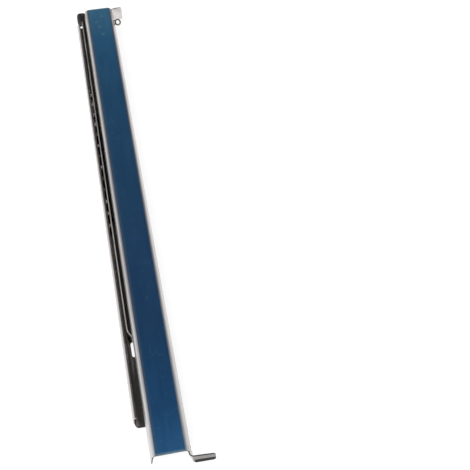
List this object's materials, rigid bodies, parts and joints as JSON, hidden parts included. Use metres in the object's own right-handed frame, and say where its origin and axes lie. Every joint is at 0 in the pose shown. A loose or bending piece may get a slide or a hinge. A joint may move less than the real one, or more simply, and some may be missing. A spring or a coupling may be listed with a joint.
{
  "type": "cabinet drawer slide",
  "caption": "Left-hand telescopic drawer slide: three-part plated ball-bearing rail under a stainless channel with blue film, front finger, rear tab and wire eye.",
  "frame": {"origin": "on the flat back face of the cabinet member, on the channel's centre line and half way along the channel", "axes": "+Z away from the cabinet side, towards the drawer; -Y to the front, the way the drawer opens; +X to the side of the front finger"},
  "size_m": [0.0607, 0.567, 0.0254],
  "materials": {
    "rail_steel": "smooth bright plating that looks black where it mirrors a dark ceiling",
    "intermediate_steel": "smooth dark plating, worn bright along the lips",
    "cage_steel": "greased bright steel",
    "zinc_steel": "zinc plated",
    "stainless": "bright rolled stainless",
    "blue_film": "glossy blue protective film",
    "black_nylon": "moulded satin",
    "black_rubber": "matt"
  },
  "bodies": {
    "cabinet": {"cabinet_member": "rail_steel", "rear_stop_block": "black_nylon", "rear_bumper": "black_rubber"},
    "outer_cage": {"outer_ball_cage": "cage_steel"},
    "intermediate": {"intermediate_member": "intermediate_steel", "intermediate_buffer": "black_nylon"},
    "inner_cage": {"inner_ball_cage": "cage_steel"},
    "drawer": {"drawer_member": "rail_steel", "channel_cover": "stainless", "protective_film": "blue_film", "rear_eye": "stainless", "bracket_front": "zinc_steel", "bracket_middle": "zinc_steel", "bracket_rear": "zinc_steel", "rivet_front_outer": "zinc_steel", "rivet_front_inner": "zinc_steel", "rivet_middle_outer": "zinc_steel", "rivet_middle_inner": "zinc_steel", "rivet_rear_outer": "zinc_steel", "rivet_rear_inner": "zinc_steel"}
  },
  "joints": [
    {"name": "intermediate_slide", "type": "slide", "parent": "cabinet", "child": "intermediate", "axis": [0, -1, 0], "range_m": [0, 0.22]},
    {"name": "drawer_slide", "type": "slide", "parent": "intermediate", "child": "drawer", "axis": [0, -1, 0], "range_m": [0, 0.25]},
    {"name": "outer_cage_slide", "type": "slide", "parent": "cabinet", "child": "outer_cage", "axis": [0, -1, 0], "range_m": [0, 0.112]},
    {"name": "inner_cage_slide", "type": "slide", "parent": "intermediate", "child": "inner_cage", "axis": [0, -1, 0], "range_m": [0, 0.127]}
  ],
  "couplings": [
    {"joint": "outer_cage_slide", "follows": "intermediate_slide", "ratio": 0.5},
    {"joint": "inner_cage_slide", "follows": "drawer_slide", "ratio": 0.5}
  ]
}
